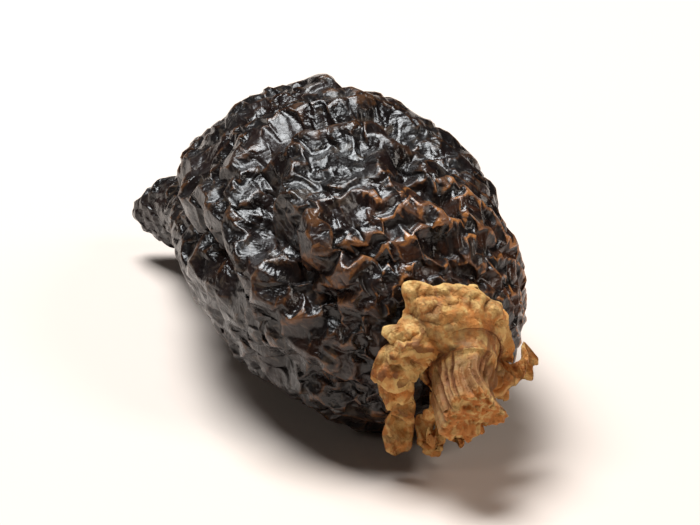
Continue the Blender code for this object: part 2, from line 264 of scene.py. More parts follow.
@dataclass
class Hide:
    """A closed skin of triangles that can be smoothed and shrivelled."""

    triangles: np.ndarray
    points: np.ndarray
    edges: np.ndarray = field(init=False)
    wings: np.ndarray = field(init=False)
    facets: np.ndarray = field(init=False)
    average_share: float = 0.5
    slope_share: float = 0.3
    edge_weight: float = 2.0
    wing_weight: float = 4.0
    longest_move: float = 0.2

    def __post_init__(self) -> None:
        """Find each edge, the two corners that face each other across it, and its two triangles."""
        a, b, c = self.triangles.T
        sides = np.concatenate((np.stack((a, b), 1), np.stack((b, c), 1), np.stack((c, a), 1)))
        across = np.concatenate((c, a, b))
        sides = np.sort(sides, axis=1)
        order = np.argsort(sides[:, 0] * len(self.points) + sides[:, 1], kind="stable")
        self.edges = sides[order[0::2]]
        self.wings = np.stack((across[order[0::2]], across[order[1::2]]), 1)
        self.facets = np.stack((order[0::2], order[1::2]), 1) % len(self.triangles)

    @staticmethod
    def gather(pairs: np.ndarray, pulls: np.ndarray, count: int) -> np.ndarray:
        """Add up pulls between pairs of things.

        Args:
            pairs: The two things that each pull is between.
            pulls: What the first of each pair gets, and the second gets reversed.
            count: How many things there are.

        Returns:
            The sum for each thing.
        """
        total = np.empty((count, 3))
        for axis in range(3):
            total[:, axis] = np.bincount(pairs[:, 0], pulls[:, axis], count)
            total[:, axis] -= np.bincount(pairs[:, 1], pulls[:, axis], count)
        return total

    def degree(self, pairs: np.ndarray) -> np.ndarray:
        """How many of the pairs each point is in."""
        return np.bincount(pairs.ravel(), minlength=len(self.points))[:, None]

    def normals(self) -> np.ndarray:
        """Unit normals at the points.

        Returns:
            One normal for each point.
        """
        first, second, third = (self.points[self.triangles[:, corner]] for corner in range(3))
        facing = np.cross(second - first, third - first)
        total = np.zeros_like(self.points)
        for corner in self.triangles.T:
            for axis in range(3):
                total[:, axis] += np.bincount(corner, facing[:, axis], len(self.points))
        return total / np.linalg.norm(total, axis=1, keepdims=True)

    def proud(self, upper: np.ndarray, lower: np.ndarray) -> np.ndarray:
        """How far one set of the points stands proud of another, along the skin's normals."""
        return ((upper - lower) * self.normals()).sum(axis=1)

    def averaged(self, points: np.ndarray, times: int) -> np.ndarray:
        """Points moved towards their neighbours' mean.

        Args:
            points: One row of three for each of the skin's points.
            times: How often.

        Returns:
            The smoothed points.
        """
        degree = self.degree(self.edges)
        for _ in range(times):
            apart = points[self.edges[:, 1]] - points[self.edges[:, 0]]
            pull = self.gather(self.edges, apart, len(points))
            points = points + self.average_share * pull / degree
        return points

    def sharpen(self, facets: Facets) -> None:
        """Flatten the skin's facets, and sharpen the creases between them.

        Args:
            facets: How it crumples.
        """
        corners = self.triangles.T
        first, second, third = (self.points[corner] for corner in corners)
        slopes = np.cross(second - first, third - first)
        slopes /= np.linalg.norm(slopes, axis=1, keepdims=True)
        for _ in range(facets.rounds):
            here, there = slopes[self.facets[:, 0]], slopes[self.facets[:, 1]]
            alike = np.exp(((here * there).sum(axis=1) - 1.0) / facets.tolerance)
            pulls = self.slope_share * alike[:, None] * (there - here)
            slopes = slopes + self.gather(self.facets, pulls, len(slopes))
            slopes /= np.linalg.norm(slopes, axis=1, keepdims=True)
        count = np.bincount(self.triangles.ravel(), minlength=len(self.points))[:, None]
        for _ in range(facets.settle):
            middles = self.points[self.triangles].mean(axis=1)
            move = np.zeros_like(self.points)
            for corner in corners:
                off = ((middles - self.points[corner]) * slopes).sum(axis=1)
                for axis in range(3):
                    move[:, axis] += np.bincount(corner, off * slopes[:, axis], len(move))
            self.points = self.points + move / count

    def raise_by(self, height: np.ndarray) -> None:
        """Move the points along their normals by these heights."""
        self.points = self.points + self.normals() * height[:, None]

    def shrivel(self, shrinkage: Shrinkage, lengthwise: np.ndarray, across: np.ndarray) -> None:
        """Let the skin outgrow its bed, so that it wrinkles.

        Args:
            shrinkage: How it gives.
            lengthwise: How much longer it wants to be along Y, as a share, at each point.
            across: How much longer it wants to be across Y.
        """
        bed_points = self.points.copy()
        pairs = (self.edges, self.wings)
        lengths = []
        for pair in pairs:
            apart = bed_points[pair[:, 1]] - bed_points[pair[:, 0]]
            length = np.linalg.norm(apart, axis=1)
            along = (apart[:, 1] / length) ** 2
            more = along * lengthwise[pair].mean(axis=1) + (1.0 - along) * across[pair].mean(axis=1)
            lengths.append(length * (1.0 + more))
        degrees = [self.degree(pair) for pair in pairs]
        weights = (self.edge_weight, self.wing_weight * shrinkage.bending)
        for _ in range(shrinkage.steps):
            move = shrinkage.bed * (bed_points - self.points)
            for number, pair in enumerate(pairs):
                apart = self.points[pair[:, 1]] - self.points[pair[:, 0]]
                now = np.linalg.norm(apart, axis=1)
                strain = (now - lengths[number]) / now
                if pair is self.wings:
                    strain = strain / (1.0 + (strain / shrinkage.crease) ** 2)
                pull = self.gather(pair, apart * (0.5 * strain)[:, None], len(self.points))
                move += weights[number] * pull / degrees[number]
            length = np.linalg.norm(move, axis=1, keepdims=True)
            held = np.minimum(1.0, self.longest_move / np.maximum(length, TINY))
            self.points = self.points + move * held


@dataclass(frozen=True)
class Ramp:
    """How a value becomes a stain: where it is bare, where it is full, and its share there."""

    bare: float
    full: float
    share: float = 1.0


@dataclass(frozen=True)
class Blots:
    """A blotted stain.

    size is the blots' in millimetres, detail is how many finer layers they have, stir is how much
    they are stirred, and the noise goes through ramp.
    """

    size: float
    detail: float
    stir: float
    ramp: Ramp


class Graph:
    """The node tree of one material, with short calls that add and join its nodes."""

    def __init__(self, name: str) -> None:
        """Start a material of this name with its Principled shader."""
        self.material = bpy.data.materials.new(name)
        self.material.use_nodes = True
        self.tree = self.material.node_tree
        self.shader = self.tree.nodes["Principled BSDF"]
        self.place = self.joined("ShaderNodeTexCoord", "Object", {})

    def feed(self, socket: Socket, value: Feed) -> None:
        """Join a socket to another, or set its own value.

        Args:
            socket: The socket to feed.
            value: Another socket, a number or a colour.
        """
        if isinstance(value, Socket):
            self.tree.links.new(value, socket)
        else:
            socket.default_value = value

    def dress(self, inputs: dict[str, Feed]) -> None:
        """Feed the shader's own sockets, by their names."""
        for name, value in inputs.items():
            self.feed(self.shader.inputs[name], value)

    def joined(
        self, kind: str, output: str | int, inputs: dict[str | int, Feed], **options: str
    ) -> Socket:
        """Add a node.

        Args:
            kind: The node's type.
            output: Which of its sockets to give back.
            inputs: What its own sockets are fed.
            options: Its settings by name.

        Returns:
            The output socket.
        """
        node = self.tree.nodes.new(kind)
        for option, value in options.items():
            setattr(node, option, value)
        for key, value in inputs.items():
            self.feed(node.inputs[key], value)
        return node.outputs[output]

    def attribute(self, name: str) -> Socket:
        """The value of a mesh's point attribute."""
        return self.joined("ShaderNodeAttribute", "Fac", {}, attribute_name=name)

    def noise(self, size: float, detail: float = 3.0, stir: float = 0.0) -> Socket:
        """A noise pattern.

        Args:
            size: The size of its blots in millimetres.
            detail: How many finer layers it has.
            stir: How much it is stirred.

        Returns:
            Its value's socket, about 0.3 to 0.7.
        """
        scale = 1.0 / (size * MM)
        inputs = {"Vector": self.place, "Scale": scale, "Detail": detail, "Distortion": stir}
        return self.joined("ShaderNodeTexNoise", "Fac", inputs)

    def reckon(self, operation: str, first: Feed, second: Feed) -> Socket:
        """The result of a Math node's operation on two sockets or numbers."""
        return self.joined("ShaderNodeMath", "Value", {0: first, 1: second}, operation=operation)

    def creases(self, size: float, detail: float, stir: float) -> Socket:
        """Sharp creases between soft folds.

        Args:
            size: The size of the folds in millimetres.
            detail: How many finer layers they have.
            stir: How much they are stirred.

        Returns:
            A socket that is 0 in a crease and about 0.2 on a fold.
        """
        offset = self.reckon("SUBTRACT", self.noise(size, detail, stir), 0.5)
        return self.reckon("ABSOLUTE", offset, 0.0)

    def spread(
        self, value: Socket, low: float, high: float, to_low: float = 0.0, to_high: float = 1.0
    ) -> Socket:
        """A value stretched from one range to another, and held inside it.

        Args:
            value: The socket to stretch.
            low: What becomes to_low.
            high: What becomes to_high.
            to_low: The new range's start.
            to_high: The new range's end.

        Returns:
            The stretched value's socket.
        """
        names = ("Value", "From Min", "From Max", "To Min", "To Max")
        inputs = dict(zip(names, (value, low, high, to_low, to_high)))
        kind = "ShaderNodeMapRange"
        return self.joined(kind, "Result", inputs, interpolation_type="SMOOTHSTEP")

    def ramp(self, value: Socket, ramp: Ramp) -> Socket:
        """A value put through a ramp."""
        return self.spread(value, ramp.bare, ramp.full, 0.0, ramp.share)

    def blots(self, blots: Blots) -> Socket:
        """How strong a blotted stain is."""
        return self.ramp(self.noise(blots.size, blots.detail, blots.stir), blots.ramp)

    def mix(self, share: Feed, first: Feed, second: Feed) -> Socket:
        """Two colours mixed.

        Args:
            share: How much of the second.
            first: The first colour.
            second: The second colour.

        Returns:
            The mixed colour's socket.
        """
        inputs = {"Factor": share, 6: first, 7: second}
        return self.joined("ShaderNodeMix", 2, inputs, data_type="RGBA")

    def bump(self, height: Socket, depth: float, normal: Socket | None = None) -> Socket:
        """A bump.

        Args:
            height: The socket of the height, 0 to 1.
            depth: The height of 1 in millimetres.
            normal: The normal to bump further, or none.

        Returns:
            The bumped normal's socket.
        """
        inputs = {"Distance": depth * MM, "Height": height}
        if normal is not None:
            inputs["Normal"] = normal
        return self.joined("ShaderNodeBump", "Normal", inputs)


@dataclass(frozen=True)
class DriedSkin:
    """Near-black, glossy, leathery skin with rust-red specks, brown painted light along its crests
    and pale flecks of painted light.
    """

    face: Colour = (0.0065, 0.0048, 0.0048, 1.0)
    ruddy: Colour = (0.028, 0.011, 0.008, 1.0)
    scorch: Colour = (0.085, 0.034, 0.018, 1.0)
    # crest is painted light: brown-orange light shining through the thin crests, with thin painted
    # highlights on them
    crest: Colour = (0.20, 0.090, 0.044, 1.0)
    rust: Colour = (0.44, 0.18, 0.055, 1.0)
    # Painted light: the pale colour of the flecks where the thin skin catches the light.
    caught_light: Colour = (0.085, 0.062, 0.044, 1.0)
    patches: Blots = Blots(6.0, 3.0, 0.6, Ramp(0.45, 0.66, 0.35))
    light_flecks: Blots = Blots(1.5, 5.0, 1.2, Ramp(0.56, 0.68, 0.5))
    scorches: Blots = Blots(2.4, 4.0, 0.8, Ramp(0.48, 0.64, 0.65))
    specks: Blots = Blots(1.1, 4.0, 0.8, Ramp(0.47, 0.60))
    raised: Ramp = Ramp(0.2, 0.8, 0.3)
    lit_ridges: Ramp = Ramp(0.10, 0.26)
    rusty: Ramp = Ramp(0.07, 0.20)
    body_share: float = 0.12
    gloss_size: float = 3.0
    gloss: tuple = (0.35, 0.65, 0.22, 0.40)
    folds: tuple = (2.4, 2.0, 0.8)
    fold_depth: float = 0.5
    wrinkles: tuple = (1.1, 2.0, 0.5)
    wrinkle_depth: float = 0.2
    grain: tuple = (0.35, 3.0, 0.4)
    grain_depth: float = 0.05

    def material(self) -> bpy.types.Material:
        """The finish as a material, which reads the pod's crest, broad and shoulder attributes.

        Returns:
            The material.
        """
        graph = Graph("dried skin")
        crest, broad, shoulder = map(graph.attribute, ("crest", "broad", "shoulder"))
        near = graph.spread(shoulder, 0.0, 1.0, self.body_share, 1.0)

        def by(first: Socket, second: Socket) -> Socket:
            """The product of two sockets."""
            return graph.reckon("MULTIPLY", first, second)

        colour = graph.mix(graph.blots(self.patches), self.face, self.ruddy)
        colour = graph.mix(by(graph.ramp(broad, self.raised), near), colour, self.ruddy)
        # Painted light: pale flecks where the thin skin catches the light.
        colour = graph.mix(graph.blots(self.light_flecks), colour, self.caught_light)
        colour = graph.mix(by(graph.blots(self.scorches), shoulder), colour, self.scorch)
        # Painted light on the crests: light shining through the thin skin, and thin painted
        # highlights along the ridges.
        colour = graph.mix(by(graph.ramp(crest, self.lit_ridges), near), colour, self.crest)
        rusty = by(graph.blots(self.specks), graph.ramp(crest, self.rusty))
        colour = graph.mix(by(rusty, near), colour, self.rust)
        folds = graph.bump(graph.creases(*self.folds), self.fold_depth)
        wrinkles = graph.bump(graph.creases(*self.wrinkles), self.wrinkle_depth, folds)
        graph.dress(
            {
                "Base Color": colour,
                "Roughness": graph.spread(graph.noise(self.gloss_size, 4.0), *self.gloss),
                "Normal": graph.bump(graph.noise(*self.grain), self.grain_depth, wrinkles),
                "Specular IOR Level": 0.35,
                "Coat Weight": 0.25,
                "Coat Roughness": 0.14,
            }
        )
        return graph.material


@dataclass(frozen=True)
class DriedHusk:
    """Dry, matt, ochre tissue with brown stains and fibres, painted shade in its hollows and pits,
    and painted highlights on its crests.
    """

    # pale is the tissue's own colour and also the painted highlight on the crests
    pale: Colour = (0.74, 0.49, 0.18, 1.0)
    ochre: Colour = (0.52, 0.255, 0.070, 1.0)
    # brown is used for real stains and also for the painted shade in the hollows and pits
    brown: Colour = (0.17, 0.052, 0.013, 1.0)
    orange: Colour = (0.55, 0.18, 0.030, 1.0)
    # Painted shade: the near-black of the deepest pits.
    painted_shade: Colour = (0.035, 0.015, 0.008, 1.0)
    stalk: Colour = (0.19, 0.083, 0.030, 1.0)
    ochre_blots: Blots = Blots(3.5, 4.0, 0.5, Ramp(0.42, 0.58))
    orange_stains: Blots = Blots(2.2, 4.0, 0.8, Ramp(0.50, 0.64, 0.75))
    brown_smudges: Blots = Blots(2.7, 5.0, 0.3, Ramp(0.54, 0.38, 0.65))
    # Painted shade: brown in the hollows, where the surface lies below its smoothed self.
    hollow_shade: Ramp = Ramp(0.0, -0.24, 0.8)
    # Painted highlight: pale along the crests.
    crest_highlights: Ramp = Ramp(0.04, 0.20, 0.6)
    mottling: Blots = Blots(0.9, 4.0, 0.4, Ramp(0.46, 0.60))
    mottling_share: float = 0.45
    pale_flecks: Blots = Blots(1.3, 4.0, 0.2, Ramp(0.44, 0.34, 0.6))
    # Painted shade in the pits: brown, then near-black in the deepest.
    pit_shade: Ramp = Ramp(0.10, 0.45, 0.75)
    deep_pit_shade: Ramp = Ramp(0.40, 0.80, 0.85)
    stalk_share: float = 0.72
    streaks: Ramp = Ramp(-0.01, 0.07, 0.85)
    end_share: float = 0.6
    brown_specks: Blots = Blots(1.1, 4.0, 0.0, Ramp(0.58, 0.76, 0.5))
    gloss_size: float = 1.5
    gloss: tuple = (0.35, 0.65, 0.60, 0.85)
    roughness: tuple = (0.8, 5.0, 0.6)
    roughness_depth: float = 0.35
    grain_size: float = 0.22
    grain_depth: float = 0.08

    def material(self) -> bpy.types.Material:
        """The finish as a material, which reads the attributes crest, pit, fibre, end and stalk.

        Returns:
            The material.
        """
        graph = Graph("dried husk")
        names = ("crest", "pit", "fibre", "end", "stalk")
        crest, pit, fibre, end, stalk = map(graph.attribute, names)
        mottling = graph.blots(self.mottling)
        fresh = graph.mix(mottling, self.orange, self.pale)
        colour: Feed = self.pale
        for share, tint in (
            (graph.blots(self.ochre_blots), self.ochre),
            (graph.blots(self.orange_stains), self.orange),
            (graph.blots(self.brown_smudges), self.brown),
            # Painted shade: brown in the hollows.
            (graph.ramp(crest, self.hollow_shade), self.brown),
            # Painted highlight: pale along the crests.
            (graph.ramp(crest, self.crest_highlights), self.pale),
            (graph.reckon("MULTIPLY", mottling, self.mottling_share), self.orange),
            (graph.blots(self.pale_flecks), self.pale),
            # Painted shade: brown in the pits, then near-black in the deepest.
            (graph.ramp(pit, self.pit_shade), self.brown),
            (graph.ramp(pit, self.deep_pit_shade), self.painted_shade),
            (graph.reckon("MULTIPLY", stalk, self.stalk_share), self.stalk),
            (graph.ramp(fibre, self.streaks), self.brown),
            (graph.reckon("MULTIPLY", end, self.end_share), fresh),
            (graph.blots(self.brown_specks), self.brown),
        ):
            colour = graph.mix(share, colour, tint)
        rough = graph.bump(graph.noise(*self.roughness), self.roughness_depth)
        graph.dress(
            {
                "Base Color": colour,
                "Roughness": graph.spread(graph.noise(self.gloss_size), *self.gloss),
                "Normal": graph.bump(graph.noise(self.grain_size), self.grain_depth, rough),
                "Specular IOR Level": 0.35,
            }
        )
        return graph.material


@dataclass(frozen=True)
class PaleCloth:
    """A plain, pale, matt cloth."""

    colour: Colour = (0.78, 0.68, 0.61, 1.0)

    def material(self) -> bpy.types.Material:
        """The finish as a material.

        Returns:
            The material.
        """
        graph = Graph("pale cloth")
        graph.dress({"Base Color": self.colour, "Roughness": 0.9})
        return graph.material


@dataclass
class PodForm:
    """The pod before its skin shrivels: sections, furrows, panels and calm patches.

    sections holds the place along the pod, the middle's X and height, and half the width and
    height. A set of panels has their width, their length at the shoulder and on the body as shares
    of the width, their depth and their seed. A furrow has its depth, half its width, and stops of
    (place along the pod, angle in degrees). A calm patch has such a stop and its radius.
    """

    sections: tuple = (
        (0.0, 0.0, SEAT_HEIGHT, 0.0, 0.0),
        (0.8, -0.1, 12.2, 4.6, 4.5),
        (3.6, -0.8, 12.7, 9.2, 9.0),
        (10.5, -1.8, 14.0, 13.2, 13.0),
        (20.5, -2.2, 14.2, 15.0, 14.4),
        (31.5, -2.0, 14.2, 14.9, 14.4),
        (42.5, -1.6, 13.2, 12.8, 12.4),
        (51.5, -2.6, 10.2, 9.4, 9.1),
        (58.5, -5.2, 7.2, 6.0, 5.6),
        (63.0, -8.6, 5.6, 3.6, 3.4),
        (65.6, -11.4, 5.2, 0.0, 0.0),
    )
    panels: tuple = ((9.5, 0.50, 2.00, 1.53, 1), (4.7, 0.55, 1.40, 0.405, 2))
    shoulder_reach: float = 9.0
    panel_spacing: float = 0.8
    panel_darts: int = 9000
    panel_uneven: float = 0.22
    panel_level: float = 0.2
    panel_sunk: float = 0.16
    panel_neighbours: int = 4
    wander_share: float = 0.30
    wander_span: float = 1.5
    furrows: tuple = (
        (3.4, 1.7, ((29, 104), (22, 134), (18, 143), (13, 149), (9, 153), (6, 161), (3.7, 176))),
        (1.7, 0.8, ((9.6, 153), (7.6, 143), (6.2, 131), (4.6, 115))),
        (1.5, 0.7, ((7.6, 158), (5.0, 144), (4.1, 130), (3.4, 112))),
        (2.2, 1.3, ((15, 196), (10, 202), (6.8, 205), (3.2, 206), (2.4, 225))),
        (2.2, 1.2, ((17, 74), (11.3, 82), (8.4, 75), (5.5, 64))),
        (3.0, 1.7, ((27, 124), (25, 95), (24, 79), (17.7, 66), (12, 52))),
        (1.6, 0.9, ((6.3, 78), (3.9, 88), (2.9, 66), (3.6, 38))),
        (3.2, 1.9, ((8, 28), (20, 16), (34, 24), (46, 34), (57, 42))),
        (2.8, 1.7, ((30, 72), (40, 62), (50, 78), (59, 98))),
        (2.4, 1.6, ((6, -36), (16, -28), (30, -38), (44, -26), (56, -18))),
        (2.8, 1.6, ((13, 174), (22, 167), (33, 173), (44, 164), (54, 158), (61, 146))),
        (2.0, 1.2, ((41, 116), (49, 122), (56, 118), (62, 130))),
    )
    furrow_steps: int = 60
    furrow_sharpness: float = 1.25
    furrow_lip: float = 0.4
    furrow_lip_place: float = 2.2
    furrow_lip_width: float = 0.9
    furrow_fade: float = 0.22
    furrow_wander: float = 1.6
    furrow_wander_span: float = 5.0
    route_shares: int = 201
    calm_patches: tuple = (
        (14.0, 100.0, 5.0),
        (7.5, 188.0, 5.0),
        (20.0, 180.0, 6.5),
        (13.0, 208.0, 5.0),
        (30.0, 200.0, 6.0),
        (26.0, 118.0, 4.0),
        (36.0, 140.0, 4.5),
        (33.0, 50.0, 5.0),
    )
    calm_share: float = 0.75
    calm_core: float = 0.5
    seat_sinks: tuple = (5.0, 9.0)
    seat_rises: tuple = (9.5, 12.0)
    tip_calm: float = 12.0

    def rows(self, share: np.ndarray) -> np.ndarray:
        """The sections read between the stem end and the tip.

        Past each pole the next section repeats with its widths reversed, which rounds the ends.

        Args:
            share: Shares of the way from the stem end (0) to the tip (1).

        Returns:
            The blended sections.
        """
        table = np.array(self.sections)
        across = np.array((1.0, 1.0, 1.0, -1.0, -1.0))
        table = np.vstack((table[1] * across, table, table[-2] * across))
        count = len(self.sections) - 1
        place = np.clip(share * count, 0.0, count - POLE_GAP)
        first = place.astype(int)
        t = (place - first)[:, None]
        return spline(*(table[first + step] for step in range(4)), t)

    def surface(self, share: np.ndarray, around: np.ndarray) -> np.ndarray:
        """Points of the smooth pod.

        Args:
            share: Shares of the way from the stem end to the tip.
            around: Angles from +X towards +Z.

        Returns:
            The points in millimetres.
        """
        along, across, height, half_width, half_height = self.rows(share).T
        x = across + half_width * np.cos(around)
        return np.stack((x, along, height + half_height * np.sin(around)), axis=1)

    def wrap(self, directions: np.ndarray) -> np.ndarray:
        """Points of the smooth pod for unit directions whose +Z is the stem end."""
        share = np.arccos(np.clip(directions[:, 2], -1.0, 1.0)) / math.pi
        return self.surface(share, np.arctan2(directions[:, 1], directions[:, 0]))

    def route(self, stops: tuple) -> np.ndarray:
        """A route on the smooth pod.

        Args:
            stops: Its stops of (place along the pod, angle in degrees).

        Returns:
            Points along it, or its one point where it has one stop.
        """
        shares = np.linspace(0.0, 1.0, self.route_shares)
        lengths = self.rows(shares)[:, 0]
        alongs, angles = np.array(stops, float).T
        steps = np.linspace(0.0, len(stops) - 1.0, self.furrow_steps if len(stops) > 1 else 1)
        numbers = np.arange(len(stops))
        share = np.interp(np.interp(steps, numbers, alongs), lengths, shares)
        return self.surface(share, np.radians(np.interp(steps, numbers, angles)))

    def furrow(
        self, points: np.ndarray, depth: float, half_width: float, stops: tuple
    ) -> np.ndarray:
        """The height of one furrow.

        Args:
            points: Where to read it.
            depth: How deep its valley is.
            half_width: How far its sides reach.
            stops: Its route.

        Returns:
            Heights, below 0 in the valley and above 0 on its lips.
        """
        route = self.route(stops)
        directions = noise_at(route, self.furrow_wander_span, read=noise.noise_vector)
        away = distances(points, route + directions * self.furrow_wander)
        ahead = away.argmin(axis=1) / (self.furrow_steps - 1)
        fade = self.furrow_fade
        ends = smooth_step(0.0, fade, ahead) * smooth_step(0.0, fade, 1.0 - ahead)
        across = away.min(axis=1) / half_width
        valley = np.exp(-(across**self.furrow_sharpness))
        off_lip = (across - self.furrow_lip_place) / self.furrow_lip_width
        return depth * ends * (self.furrow_lip * np.exp(-(off_lip**2)) - valley)

    def crowded(
        self, points: np.ndarray, width: float, shoulder: float, body: float
    ) -> np.ndarray:
        """Points in panel widths.

        They are stretched so that panels lie round the shoulder and run lengthwise on the body.

        Args:
            points: The points in millimetres.
            width: The panels' width.
            shoulder: Their length at the shoulder, as a share of the width.
            body: Their length on the body, as a share of the width.

        Returns:
            The stretched points.
        """
        along = np.maximum(points[:, 1], 0.0)
        crowding = self.shoulder_reach * (1.0 / shoulder - 1.0 / body)
        y = points[:, 1] / body + crowding * (1.0 - np.exp(-along / self.shoulder_reach))
        return np.stack((points[:, 0], y, points[:, 2]), axis=1) / width

    def centres(self, sizes: tuple, seed: int) -> tuple[kdtree.KDTree, np.ndarray]:
        """Evenly scattered panel centres.

        Args:
            sizes: Width, and length shares at the shoulder and on the body.
            seed: The seed of the draw.

        Returns:
            A search tree of the centres, and how much shallower each panel is.
        """
        random = np.random.default_rng(seed)
        share = np.arccos(random.uniform(-1.0, 1.0, self.panel_darts)) / math.pi
        around = random.uniform(-math.pi, math.pi, self.panel_darts)
        darts = self.crowded(self.surface(share, around), *sizes)
        kept = np.empty((0, 3))
        for dart in darts:
            if len(kept) == 0 or distances(dart[None], kept).min() > self.panel_spacing:
                kept = np.vstack((kept, dart))
        tree = kdtree.KDTree(len(kept))
        for number, centre in enumerate(kept):
            tree.insert(centre, number)
        tree.balance()
        return tree, random.uniform(0.0, self.panel_uneven, len(kept))

    def panel(self, points: np.ndarray, sizes: tuple, seed: int) -> np.ndarray:
        """The height of hollow panels with a sharp crest wherever two of them meet.

        Args:
            points: Where to read it.
            sizes: Width, and length shares at the shoulder and on the body.
            seed: The seed of the draw.

        Returns:
            Heights as a share of the panels' depth.
        """
        tree, rises = self.centres(sizes, seed)
        span = sizes[0] * self.wander_span
        wander = noise_at(points, span, seed * self.shoulder_reach, noise.noise_vector)
        moved = self.crowded(points + wander * sizes[0] * self.wander_share, *sizes)
        hollow = []
        for point in moved:
            found = tree.find_n(point, self.panel_neighbours)
            hollow.append(min(away * away + rises[number] for _, number, away in found))
        return np.array(hollow) - self.panel_level

    def freedom(self, points: np.ndarray) -> tuple[np.ndarray, np.ndarray, np.ndarray]:
        """How freely the skin moves.

        Args:
            points: Points of the smooth pod.

        Returns:
            How freely it sinks, how freely it rises, and how much the calm patches and the tip
            leave of its folds, from 0 to 1 at each point.
        """
        from_stem = np.hypot(points[:, 0], points[:, 2] - SEAT_HEIGHT)
        shoulder = points[:, 1] < self.shoulder_reach
        sinks = np.where(shoulder, smooth_step(*self.seat_sinks, from_stem), 1.0)
        rises = np.where(shoulder, smooth_step(*self.seat_rises, from_stem), 1.0)
        calm = np.ones(len(points))
        for along, angle, radius in self.calm_patches:
            away = distances(points, self.route(((along, angle),)))[:, 0]
            outside = smooth_step(self.calm_core * radius, radius, away)
            calm = calm * (1.0 - self.calm_share * (1.0 - outside))
        tip = np.clip((self.sections[-1][0] - points[:, 1]) / self.tip_calm, 0.0, 1.0)
        return sinks, rises, calm * tip**0.5


@dataclass
class Pod:
    """The pod's shrivelled skin.

    A growth is how much longer the skin wants to be, as a share, along Y and across it. brown_sides
    holds an axis, the least share of brown on it, and where that share starts and stops rising.
    """

    form: PodForm
    subdivisions: int = 6
    cuts: int = 2
    jitter: float = 0.008
    jitter_seed: int = 3
    ruffle: float = 0.25
    ruffle_span: float = 1.3
    furrow_share: float = 0.7
    body_growth: tuple = (0.08, 0.14)
    shoulder_growth: tuple = (0.22, 0.12)
    shoulder_ends: tuple = (6.0, 16.0)
    calm_growth: float = 0.35
    fine_growth: float = 0.3
    wilt: Shrinkage = Shrinkage(steps=200, bending=0.30, bed=0.005, crease=0.02)
    wrinkle: Shrinkage = Shrinkage(steps=40, bending=0.20, bed=0.03, crease=0.05)
    facets: Facets = Facets(rounds=20, tolerance=0.03, settle=15)
    crest_smoothing: int = 12
    relief_smoothing: int = 120
    brown_ends: tuple = (6.0, 15.0)
    brown_sides: tuple = ((0, 0.3, -10.0, -3.0), (2, 0.4, 6.0, 14.0))
    ground: float = 0.0

    def fold(self, hide: Hide, start: np.ndarray) -> None:
        """Sink the furrows and the panels into a skin.

        Args:
            hide: The skin, which is moved.
            start: The points of the smooth pod under it.
        """
        sinks, rises, calm = self.form.freedom(start)
        heights = np.array([self.form.furrow(start, *furrow) for furrow in self.form.furrows])
        height = heights.max(axis=0) + np.minimum(heights, 0.0).sum(axis=0)
        hide.raise_by(self.furrow_share * height * np.where(height > 0.0, rises, sinks))
        for width, shoulder, body, depth, seed in self.form.panels:
            height = self.form.panel(start, (width, shoulder, body), seed)
            height = height - self.form.panel_sunk * (1.0 - rises)
            free = np.where(height > 0.0, rises, sinks) * calm
            hide.raise_by(height * free * depth)
        hide.raise_by(self.ruffle * noise_at(start, self.ruffle_span) * sinks)

    def dry(self, hide: Hide, start: np.ndarray, shrinkage: Shrinkage, share: float) -> None:
        """Shrivel a skin, most at the shoulder.

        Args:
            hide: The skin, which is moved.
            start: The points of the smooth pod under it.
            shrinkage: How it gives.
            share: The share of its growth that it takes.
        """
        sinks, _, calm = self.form.freedom(start)
        free = sinks * (self.calm_growth + (1.0 - self.calm_growth) * calm) * share
        shoulder = 1.0 - smooth_step(*self.shoulder_ends, start[:, 1])
        pairs = zip(self.body_growth, self.shoulder_growth)
        lengthwise, across = (free * (body + (near - body) * shoulder) for body, near in pairs)
        hide.shrivel(shrinkage, lengthwise, across)

    def browned(self, points: np.ndarray) -> np.ndarray:
        """How brown the skin may turn.

        Args:
            points: The skin's points.

        Returns:
            Shares from 0 to 1, most behind the calyx at the upper right.
        """
        brown = 1.0 - smooth_step(*self.brown_ends, points[:, 1])
        for axis, least, low, high in self.brown_sides:
            brown *= least + (1.0 - least) * smooth_step(low, high, points[:, axis])
        return brown

    def build(self) -> bpy.types.Object:
        """Build the pod.

        Returns:
            The finished piece.
        """
        bm = bmesh.new()
        bmesh.ops.create_icosphere(bm, subdivisions=self.subdivisions, radius=1.0)
        triangles = triangles_of(bm)
        ball = np.array([vert.co for vert in bm.verts])
        ball += np.random.default_rng(self.jitter_seed).normal(0.0, self.jitter, ball.shape)
        start = self.form.wrap(ball / np.linalg.norm(ball, axis=1, keepdims=True))
        hide = Hide(triangles, start)
        self.fold(hide, start)
        self.dry(hide, start, self.wilt, 1.0)
        log.info("coarse folds done")
        place = bm.verts.layers.float_vector.new("place")
        for vert, point, smooth in zip(bm.verts, hide.points, start):
            vert.co = point
            vert[place] = smooth
        bmesh.ops.subdivide_edges(bm, edges=bm.edges, cuts=self.cuts, use_grid_fill=True)
        hide = Hide(triangles_of(bm), np.array([vert.co for vert in bm.verts]))
        start = np.array([vert[place] for vert in bm.verts])
        mesh = mesh_of("pod_skin", bm)
        hide.points = hide.averaged(hide.points, 1)
        self.dry(hide, start, self.wrinkle, self.fine_growth)
        hide.sharpen(self.facets)
        log.info("fine wrinkles done")
        points = hide.points
        smooth = hide.averaged(points, self.crest_smoothing)
        broad = hide.averaged(smooth, self.relief_smoothing)
        # crest drives the skin's painted light along its crests.
        layers = {"crest": hide.proud(points, smooth), "broad": hide.proud(smooth, broad)}
        points[:, 2] = np.maximum(points[:, 2], self.ground)
        layers["shoulder"] = self.browned(points)
        return finished(mesh, points, layers, DriedSkin().material())


